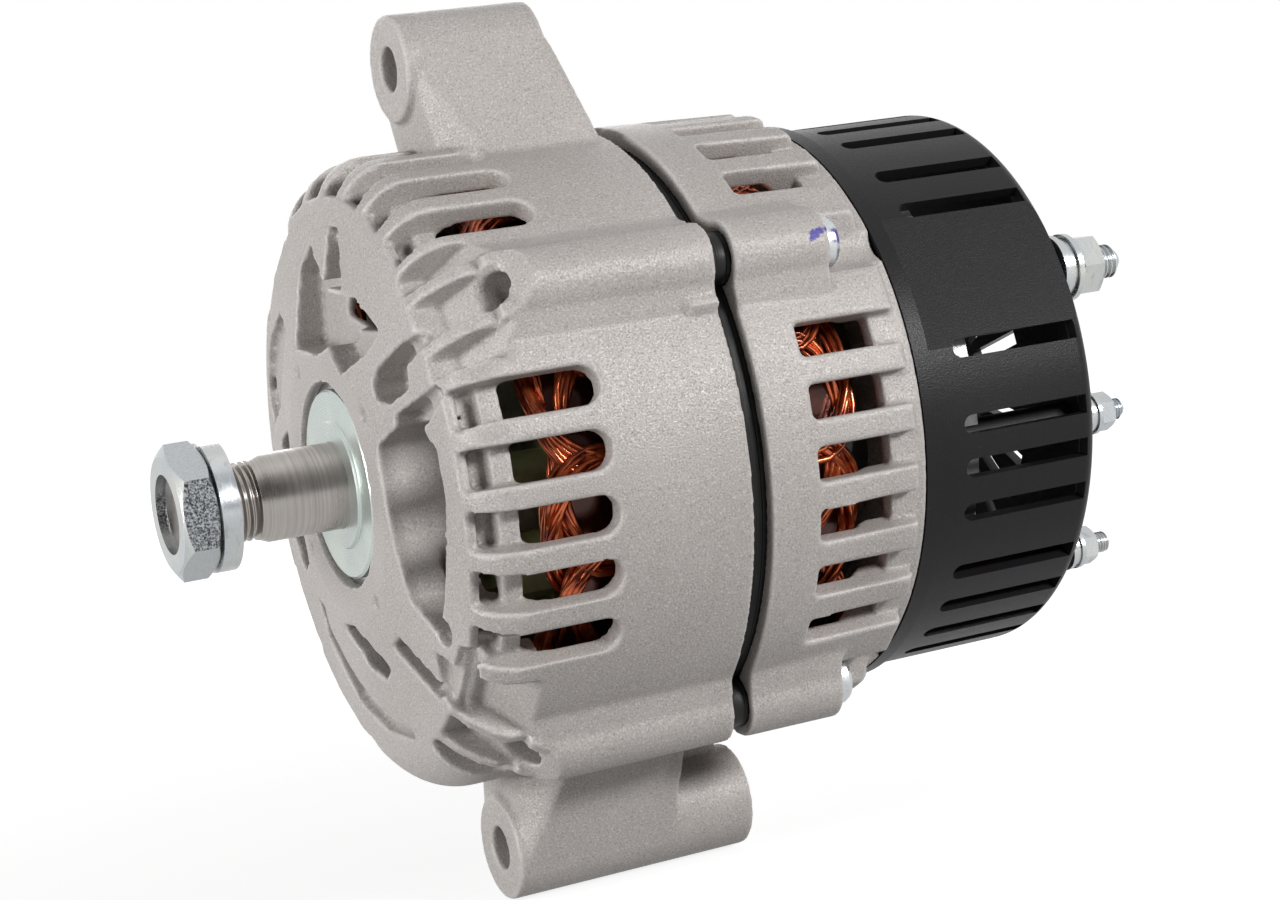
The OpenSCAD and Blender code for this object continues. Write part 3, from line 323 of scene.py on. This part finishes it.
def plain_compound(name, low, high, roughness, scale=500, metallic=0.0):
    """Insulators, brush carbon, boards and other matt moulded pieces."""
    part = Finish(name, metallic=metallic, roughness=roughness)
    mottle = part.noise(scale, 3)
    part.colour(part.mix(mottle, low, high))
    part.bump(mottle, 0.00012, 0.4)
    return part.material


def marked_bolt(points):
    """Bright bolt heads with a dab of blue assembly paint on each."""
    plate = Finish("bolt_zinc", metallic=0.9, roughness=0.26)
    scuffs = plate.noise(700, 3)
    tone = plate.mix(scuffs, (0.5, 0.52, 0.55), (0.68, 0.7, 0.7))
    plate.colour(plate.dabs(tone, points, 3.3 * MM))
    plate.roughness(plate.ramp(scuffs, 0.3, 0.7, 0.22, 0.36))
    plate.bump(scuffs, 0.00006, 0.5)
    return plate.material


BOLT_R = 72.6 * MM
BOLT_ANGLES = [33.5 + 90 * i for i in range(4)]


def ring_point(radius, degrees):
    """A point in the YZ plane, its angle counted upwards from the near side."""
    turn = math.radians(degrees)
    return -radius * math.cos(turn), radius * math.sin(turn)


# Assembly paint: a dab on each of the two bolt heads in view, a streak on the boss of one
HEAD_X = 100.9 * MM
DAB_R = BOLT_R + 4.5 * MM
STREAK_R = 80.9 * MM
SEEN_HEADS = (BOLT_ANGLES[0] - 1, BOLT_ANGLES[3] - 4)
paint_points = [(HEAD_X, *ring_point(DAB_R, angle)) for angle in SEEN_HEADS]
streak_points = [((93.4 + 1.2 * i) * MM, *ring_point(STREAK_R, 31.3 + 0.3 * i))
                 for i in range(4)]
ALUMINIUM = cast_aluminium("cast_aluminium")
REAR_ALUMINIUM = cast_aluminium("marked_casting", streak_points)
PLATE_ALUMINIUM = machined_aluminium()
ZINC = plated_zinc("bright_zinc", (0.5, 0.53, 0.56), (0.58, 0.59, 0.56), 0.2, 0.34)
NUT_ZINC = nut_zinc()
DARK_ZINC = plated_zinc("dull_zinc", (0.27, 0.28, 0.29), (0.34, 0.34, 0.33), 0.3, 0.46)
DISC = disc_plating()
SHAFT_STEEL = turned_steel()
RACE_STEEL = ground_steel()
CORE_IRON = dark_iron("lacquered_laminations", (0.006, 0.006, 0.006), (0.02, 0.019, 0.018), True)
POLE_IRON = dark_iron("forged_poles", (0.05, 0.048, 0.045), (0.13, 0.125, 0.12))
COPPER = enamelled_copper("enamelled_copper", (0.2, 0.028, 0.01), (0.78, 0.175, 0.055))
# A near-black copy of the enamelled copper, painted as the shade under the end-turn wires and
# inside the rotor
PAINTED_SHADE_COPPER = enamelled_copper("painted_shade_copper", (0.035, 0.009, 0.006), (0.08, 0.018, 0.01))
RING_COPPER = enamelled_copper("ring_copper", (0.5, 0.26, 0.15), (0.68, 0.38, 0.24))
COVER_PLASTIC = moulded_black("cover_plastic", (0.009, 0.008, 0.0085), (0.014, 0.0125, 0.0145),
                              0.3, 0.46, 0.00012)
PART_PLASTIC = moulded_black("part_plastic", (0.012, 0.012, 0.012), (0.03, 0.03, 0.03),
                             0.4, 0.56, 0.0001)
OLIVE = passivated_sheet()
LINER = plain_compound("slot_paper", (0.42, 0.38, 0.28), (0.55, 0.5, 0.38), 0.6)
BOBBIN = plain_compound("bobbin_nylon", (0.55, 0.52, 0.44), (0.66, 0.63, 0.55), 0.45)
BOARD = plain_compound("board_resin", (0.012, 0.02, 0.014), (0.03, 0.045, 0.032), 0.4)
CARRIER = plain_compound("carrier_resin", (0.09, 0.03, 0.018), (0.15, 0.06, 0.035), 0.42)
CARBON = plain_compound("brush_carbon", (0.03, 0.024, 0.02), (0.09, 0.06, 0.045), 0.5, 900, 0.25)
RUBBER = plain_compound("seal_rubber", (0.012, 0.012, 0.012), (0.03, 0.03, 0.03), 0.62)
CAGE = plain_compound("cage_nylon", (0.32, 0.22, 0.11), (0.45, 0.32, 0.17), 0.4)
BOLT_ZINC = marked_bolt(paint_points)

NODE_FINISH = {
    "front_bracket": ALUMINIUM, "rear_bracket": ALUMINIUM, "stator_core": CORE_IRON,
    "stator_winding": COPPER, "slot_liners": LINER, "through_bolts": BOLT_ZINC,
    "shaft": SHAFT_STEEL, "shaft_nut": NUT_ZINC, "spring_washer": ZINC, "seat_disc": DISC,
    "front_bearing_outer": RACE_STEEL, "front_bearing_inner": RACE_STEEL,
    "front_bearing_balls": RACE_STEEL, "front_bearing_cage": CAGE,
    "front_bearing_seals": RUBBER, "bearing_retainer": ZINC, "retainer_screws": ZINC,
    "rear_bearing_outer": RACE_STEEL, "rear_bearing_inner": RACE_STEEL,
    "rear_bearing_balls": RACE_STEEL, "rear_bearing_cage": CAGE, "rear_bearing_seals": RUBBER,
    "front_claw_pole": POLE_IRON, "rear_claw_pole": POLE_IRON, "field_bobbin": BOBBIN,
    "field_coil": PAINTED_SHADE_COPPER, "front_fan": OLIVE, "rear_fan": OLIVE,
    "slip_ring_carrier": CARRIER, "slip_rings": RING_COPPER,
    "negative_heat_sink": PLATE_ALUMINIUM, "negative_diodes": ZINC, "connection_board": BOARD,
    "positive_heat_sink": PLATE_ALUMINIUM, "positive_diodes": ZINC, "stack_bushings": BOBBIN,
    "cover_posts": ZINC, "post_nuts": ZINC, "brush_holder": PART_PLASTIC,
    "holder_screws": ZINC, "inner_brush": CARBON, "outer_brush": CARBON,
    "inner_spring": RACE_STEEL, "outer_spring": RACE_STEEL, "regulator": PART_PLASTIC,
    "b_stud": ZINC, "w_stud": DARK_ZINC, "d_stud": ZINC, "stud_insulators": PART_PLASTIC,
    "b_washers": ZINC, "small_washers": ZINC, "b_nut": ZINC, "small_nuts": ZINC,
    "rear_cover": COVER_PLASTIC, "cover_screws": ZINC,
}
for name, finish in NODE_FINISH.items():
    node = cad[name]
    if not node.material_slots:
        node.data.materials.append(finish)
    for slot in node.material_slots:
        slot.material = finish


# ---------------------------------------------------------------- making pieces

def in_scene(name, data):
    """A new object that holds the data, linked to the scene."""
    made = bpy.data.objects.new(name, data)
    bpy.context.scene.collection.objects.link(made)
    return made


def piece(name, bm, finish, body, replaced=(), sharp_over=40):
    """Turns a finished bmesh into an object that rides on a body."""
    bmesh.ops.recalc_face_normals(bm, faces=bm.faces)
    mesh = bpy.data.meshes.new(name)
    bm.to_mesh(mesh)
    bm.free()
    mesh.materials.append(finish)
    mesh.shade_smooth()
    mesh.set_sharp_from_angle(angle=math.radians(sharp_over))
    made = in_scene(name, mesh)
    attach(made, body)
    if replaced:
        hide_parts(*replaced)
    return made


def add_to(bm, part, centre):
    """Moves a finished bmesh to its place, in millimetres, and adds it to another."""
    bmesh.ops.translate(part, verts=part.verts, vec=(0.0, centre[0] * MM, centre[1] * MM))
    bmesh.ops.recalc_face_normals(part, faces=part.faces)
    mesh = bpy.data.meshes.new("part")
    part.to_mesh(mesh)
    part.free()
    bm.from_mesh(mesh)
    bpy.data.meshes.remove(mesh)


def spun_chain(part, points, turn, steps, advance=0.0, close=False):
    """Spins a chain of [x, radius] points, in millimetres, about the X axis."""
    chain = [part.verts.new((x * MM, -r * MM, 0.0)) for x, r in points]
    edges = [part.edges.new(pair) for pair in zip(chain, chain[1:])]
    bmesh.ops.spin(part, geom=chain + edges, cent=(0, 0, 0), axis=(1, 0, 0),
                   dvec=(advance * MM, 0, 0), angle=turn, steps=steps, use_merge=close,
                   use_duplicate=False)
    bmesh.ops.remove_doubles(part, verts=part.verts, dist=1e-6)


def lathe(bm, profile, centre=(0.0, 0.0), steps=72):
    """A turned solid from [radius, x] points."""
    part = bmesh.new()
    spun_chain(part, [(x, r) for r, x in profile], math.tau, steps, close=True)
    add_to(bm, part, centre)


THREAD_DEPTH = 0.61


def screw_thread(bm, x0, x1, radius, pitch, centre=(0.0, 0.0), steps=28):
    """A closed length of real helical thread between two stations."""
    part = bmesh.new()
    depth = pitch * THREAD_DEPTH
    start = x0 - 1.5 * pitch
    turns = math.ceil((x1 - start) / pitch) + 1
    tooth = ((0.0, depth), (0.12, depth), (0.44, 0.0), (0.62, 0.0), (0.94, depth), (1.0, depth))
    spun_chain(part, [(start + pitch * x, radius - low) for x, low in tooth],
               math.tau * turns, steps * turns, pitch / steps)
    for x, side in ((x0, {"clear_inner": True}), (x1, {"clear_outer": True})):
        geom = part.verts[:] + part.edges[:] + part.faces[:]
        cut = bmesh.ops.bisect_plane(part, geom=geom, dist=1e-7, plane_co=(x * MM, 0, 0),
                                     plane_no=(1, 0, 0), **side)
        rim = [e for e in cut["geom_cut"] if isinstance(e, bmesh.types.BMEdge)]
        bmesh.ops.holes_fill(part, edges=rim, sides=0)
    add_to(bm, part, centre)


def merged_copy(node):
    """A bmesh of the node's own solid with its loose triangles joined."""
    bm = bmesh.new()
    bm.from_mesh(cad[node].data)
    bmesh.ops.remove_doubles(bm, verts=bm.verts, dist=1e-6)
    return bm


def soft_copy(node, name, keep, finish):
    """The node's own solid with the rounded edges that a casting has."""
    made = piece(name, merged_copy(node), finish, "housing", (node,), 180)
    remesh = made.modifiers.new("skin", "REMESH")
    remesh.mode = "VOXEL"
    remesh.voxel_size = 0.72 * MM
    remesh.use_smooth_shade = True
    smooth = made.modifiers.new("radius", "SMOOTH")
    smooth.factor = 0.5
    smooth.iterations = 2
    thin = made.modifiers.new("thin_out", "DECIMATE")
    thin.ratio = keep
    bpy.context.view_layer.update()
    graph = bpy.context.evaluated_depsgraph_get()
    settled = bpy.data.meshes.new_from_object(made.evaluated_get(graph))
    made.modifiers.clear()
    made.data = settled
    settled.name = name


# ---------------------------------------------------------------- castings

soft_copy("front_bracket", "front_casting", 0.36, ALUMINIUM)
soft_copy("rear_bracket", "rear_casting", 0.4, REAR_ALUMINIUM)


# ---------------------------------------------------------------- stator windings

SLOTS = 36
SLOT_STEP = 360 / SLOTS
CORE_MIDDLE = 64.0
WIRE_R = 0.77 * MM
WIRES = 10
WIRE_POINTS = 15
TURNS_INNER, TURNS_OUTER = 54.95, 64.75
CORE_SIDE = 45.0
TURNS_FRONT = 25.35


def rearward(x):
    """The station that mirrors x in the middle of the core."""
    return 2 * CORE_MIDDLE - x


def end_turn_wires(name, mirrored, seed):
    """Bundles of single wires that arch from slot to slot beyond the core."""
    draw = random.Random(seed)
    curve = bpy.data.curves.new(name, "CURVE")
    curve.dimensions = "3D"
    curve.bevel_depth = WIRE_R
    curve.bevel_resolution = 1
    curve.use_fill_caps = True
    for bundle in range(SLOTS):
        start = bundle * SLOT_STEP + draw.uniform(-2, 2)
        span = 34.0 + draw.uniform(-3, 3)
        r0, r1 = (63.4, 57.0) if bundle % 2 == 0 else (57.4, 63.6)
        crest = 26.0 + 3.0 * (bundle % 3)
        for _ in range(WIRES):
            across = draw.uniform(-1, 1)
            deep = draw.uniform(-1, 1)
            lift = draw.uniform(-0.8, 1.6)
            spline = curve.splines.new("NURBS")
            spline.points.add(WIRE_POINTS - 1)
            spline.use_endpoint_u = True
            spline.order_u = 4
            spline.resolution_u = 1
            phase = draw.uniform(0, math.tau)
            for k in range(WIRE_POINTS):
                t = k / (WIRE_POINTS - 1)
                ease = t * t * (3 - 2 * t)
                radius = r0 + (r1 - r0) * ease + 1.1 * deep + 0.35 * math.sin(7 * t + phase)
                radius = min(TURNS_OUTER, max(TURNS_INNER, radius))
                rise = math.sin(math.pi * t) ** 0.7 if 0 < t < 1 else 0.0
                reach = (CORE_SIDE - crest - lift) * rise
                x = max(TURNS_FRONT, CORE_SIDE - reach + 0.5 * math.sin(5 * t + phase))
                degrees = start + span * ease + across * (1.2 + 3.3 * rise)
                if mirrored:
                    x, degrees = rearward(x), -degrees
                y, z = ring_point(radius, degrees)
                spline.points[k].co = (x * MM, y * MM, z * MM, 1.0)
    holder = in_scene(name + "_curve", curve)
    bpy.context.view_layer.update()
    graph = bpy.context.evaluated_depsgraph_get()
    mesh = bpy.data.meshes.new_from_object(holder.evaluated_get(graph))
    bpy.data.objects.remove(holder)
    bm = bmesh.new()
    bm.from_mesh(mesh)
    bpy.data.meshes.remove(mesh)
    piece(name, bm, COPPER, "housing", sharp_over=180)


end_turn_wires("front_end_turns", False, 11)
end_turn_wires("rear_end_turns", True, 23)

# The bed under the wires, a ring at each end and a bar in each slot: copper darkened as painted
# shade between and under the wires
BED_RING = [(54.6, 30.6), (56.0, 29.8), (60.6, 30.0), (61.6, 31.6), (61.6, 43.6), (54.6, 43.6),
            (54.6, 30.6)]
SLOT_BAR = Vector((41.6, 7.2, 3.6)) * MM
SLOT_PLACE = Vector((CORE_MIDDLE, -57.9, 0.0)) * MM
bm = bmesh.new()
lathe(bm, BED_RING, steps=96)
lathe(bm, [(r, rearward(x)) for r, x in BED_RING], steps=96)
for slot in range(SLOTS):
    made = bmesh.ops.create_cube(bm, size=1.0)
    bmesh.ops.scale(bm, verts=made["verts"], vec=SLOT_BAR)
    bmesh.ops.translate(bm, verts=made["verts"], vec=SLOT_PLACE)
    bmesh.ops.rotate(bm, verts=made["verts"], cent=(0, 0, 0),
                     matrix=Matrix.Rotation(math.tau * slot / SLOTS, 3, "X"))
piece("winding_bed", bm, PAINTED_SHADE_COPPER, "housing", ("stator_winding",))


# ---------------------------------------------------------------- shaft end

bm = bmesh.new()
lathe(bm, [(0, -37.3), (7.4, -37.3), (7.9, -36.8), (7.9, -21.2), (8.3, -20.7), (9.1, -20.2),
           (9.25, -19.4), (9.75, -18.2), (10.0, -17.6), (10.0, 18.0), (12.0, 18.0),
           (12.0, 92.0), (10.5, 92.0), (10.5, 102.0), (8.5, 102.0), (8.5, 116.7),
           (7.5, 116.7), (7.5, 146.0), (6.5, 147.0), (0, 147.0)], steps=96)
screw_thread(bm, -37.4, -20.9, 9.0, 1.5, steps=48)
piece("turned_shaft", bm, SHAFT_STEEL, "rotor", ("shaft",), 32)


# ---------------------------------------------------------------- terminals

def terminal(name, node, at, radius, pitch, head, tip, thread_from=160.0):
    """A stud with its head (back, radius, front), a real thread and a turned point."""
    core = radius - pitch * THREAD_DEPTH
    bm = bmesh.new()
    lathe(bm, [(0, head[0]), (head[1], head[0]), (head[1], head[2]), (core, head[2]),
               (core, tip - 0.62 * radius), (radius * 0.6, tip - 0.25 * radius),
               (radius * 0.36, tip - 0.04 * radius), (0, tip)], at, 40)
    screw_thread(bm, thread_from, tip - 0.58 * radius, radius, pitch, at)
    piece(name, bm, ZINC, "housing", (node,), 32)


SMALL_HEAD = (125.5, 4.5, 128.5)
terminal("b_terminal", "b_stud", ring_point(56.1, 27), 4.0, 1.25, (127, 5.4, 131), 184.0)
terminal("w_terminal", "w_stud", ring_point(56.7, -9.1), 2.5, 0.8, SMALL_HEAD, 176.5)
terminal("d_terminal", "d_stud", ring_point(59.3, -44.9), 2.5, 0.8, SMALL_HEAD, 177.5)


# ---------------------------------------------------------------- brush springs


def brush_coil(name, node):
    """The spring's own helix, copied into a mesh of its own that rides on the housing."""
    made = piece(name, merged_copy(node), RACE_STEEL, "housing", (node,), 180)
    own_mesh(made)


brush_coil("inner_coil", "inner_spring")
brush_coil("outer_coil", "outer_spring")


# ---------------------------------------------------------------- camera, floor and light

# The camera's own axes and place, solved from the photo
RIGHT, UP, BACK = ((0.89871, -0.41721, -0.13515), (0.16172, 0.02881, 0.98642),
                   (-0.40765, -0.90836, 0.09337))
CAMERA_PLACE = (-0.18526, -0.58351, 0.05557)
# The room's dark side, a fixed direction that stays where it is when the camera moves
NEAR_SIDE = BACK
WHITE = (1, 1, 1, 1)


def photo_camera():
    camera = in_scene("photo_camera", bpy.data.cameras.new("photo_camera"))
    axes = Matrix((RIGHT, UP, BACK)).transposed()
    camera.matrix_world = Matrix.Translation(CAMERA_PLACE) @ axes.to_4x4()
    camera.data.sensor_width = 36.0
    camera.data.lens = 75.348
    camera.data.clip_start = 0.01
    bpy.context.scene.camera = camera


class Wiring:
    """An emptied node tree of the floor or the world, with short calls to fill it."""

    def __init__(self, owner):
        owner.use_nodes = True
        self.tree = owner.node_tree
        self.tree.nodes.clear()
        self.path = self.add("LightPath").outputs
        self.around = self.add("TexCoord").outputs

    def add(self, kind, *sources, operation=None, **inputs):
        """Adds a node, plugs the sources into its first inputs and sets the named ones."""
        made = self.tree.nodes.new("ShaderNode" + kind)
        if operation:
            made.operation = operation
        for name, value in inputs.items():
            made.inputs[name.replace("_", " ")].default_value = value
        for place, source in enumerate(sources):
            if hasattr(source, "is_output"):
                self.tree.links.new(source, made.inputs[place])
            else:
                made.inputs[place].default_value = source
        return made

    def maths(self, operation, *sources):
        return self.add("Math", *sources, operation=operation).outputs[0]


def paper_floor():
    """Pale paper that the camera sees as white, with the lamps' real shadow in its matt part; its
    glow is painted dimmer near the object, a painted shade under it.
    """
    bm = bmesh.new()
    bmesh.ops.create_grid(bm, x_segments=2, y_segments=2, size=3.0)
    bmesh.ops.translate(bm, verts=bm.verts, vec=(0, 0, cad_box[0].z - 0.6 * MM))
    mesh = bpy.data.meshes.new("studio_floor")
    bm.to_mesh(mesh)
    bm.free()
    paper = bpy.data.materials.new("floor_paper")
    wiring = Wiring(paper)
    seen = wiring.maths("MULTIPLY_ADD", wiring.path["Is Glossy Ray"], 0.8,
                        wiring.path["Is Camera Ray"])
    away = wiring.add("VectorMath", wiring.around["Object"], operation="LENGTH")
    # Painted shade: the glow is turned down near the object and rises to full white 0.5 m away.
    painted_floor_shade = wiring.add("MapRange", away.outputs["Value"], From_Min=0.12, From_Max=0.5,
                      To_Min=0.84, To_Max=1.0)
    glow = wiring.add("Emission", WHITE, wiring.maths("MULTIPLY", seen, painted_floor_shade.outputs["Result"]))
    matt = wiring.add("BsdfDiffuse", (0.3, 0.3, 0.3, 1))
    both = wiring.add("AddShader", matt.outputs[0], glow.outputs[0])
    wiring.add("OutputMaterial", both.outputs[0])
    mesh.materials.append(paper)
    in_scene("studio_floor", mesh)


def studio_air():
    """Soft light, with a white room for camera, gloss and glass that darkens on its near side."""
    world = bpy.data.worlds.new("studio_air")
    bpy.context.scene.world = world
    wiring = Wiring(world)
    towards = wiring.add("VectorMath", wiring.around["Generated"], NEAR_SIDE,
                         operation="DOT_PRODUCT")
    room = wiring.add("MapRange", towards.outputs["Value"], From_Min=0.3, From_Max=0.85,
                      To_Max=0.85)
    dimmed = wiring.maths("MULTIPLY", room.outputs["Result"], wiring.path["Is Glossy Ray"])
    white = wiring.add("Background", WHITE, wiring.maths("SUBTRACT", 1.0, dimmed))
    soft = wiring.add("Background", (1.0, 0.985, 0.97, 1), 0.045)
    seen = wiring.maths("MAXIMUM", wiring.path["Is Camera Ray"], wiring.path["Is Glossy Ray"])
    through = wiring.maths("MAXIMUM", seen, wiring.path["Is Transmission Ray"])
    mixed = wiring.add("MixShader", through, soft.outputs[0], white.outputs[0])
    wiring.add("OutputWorld", mixed.outputs[0])


def panel(name, place, size, power):
    """A lamp with a rectangular face, turned towards the shaft's origin."""
    lamp = bpy.data.lights.new(name, "AREA")
    lamp.shape = "RECTANGLE"
    lamp.size, lamp.size_y = size
    lamp.energy = power
    holder = in_scene(name, lamp)
    holder.location = place
    holder.rotation_euler = (-Vector(place)).to_track_quat("-Z", "Y").to_euler()


photo_camera()
paper_floor()
studio_air()
panel("left_panel", (-1.2, -0.18, 0.12), (0.7, 0.7), 15.5)
panel("top_panel", (0.05, -0.2, 1.1), (0.9, 0.7), 0.4)
panel("side_panel", (0.62, -1.08, 0.44), (0.34, 0.18), 12.0)
panel("back_panel", (0.35, 1.35, 0.5), (0.9, 0.6), 5.0)
bpy.context.scene.view_settings.view_transform = "Standard"
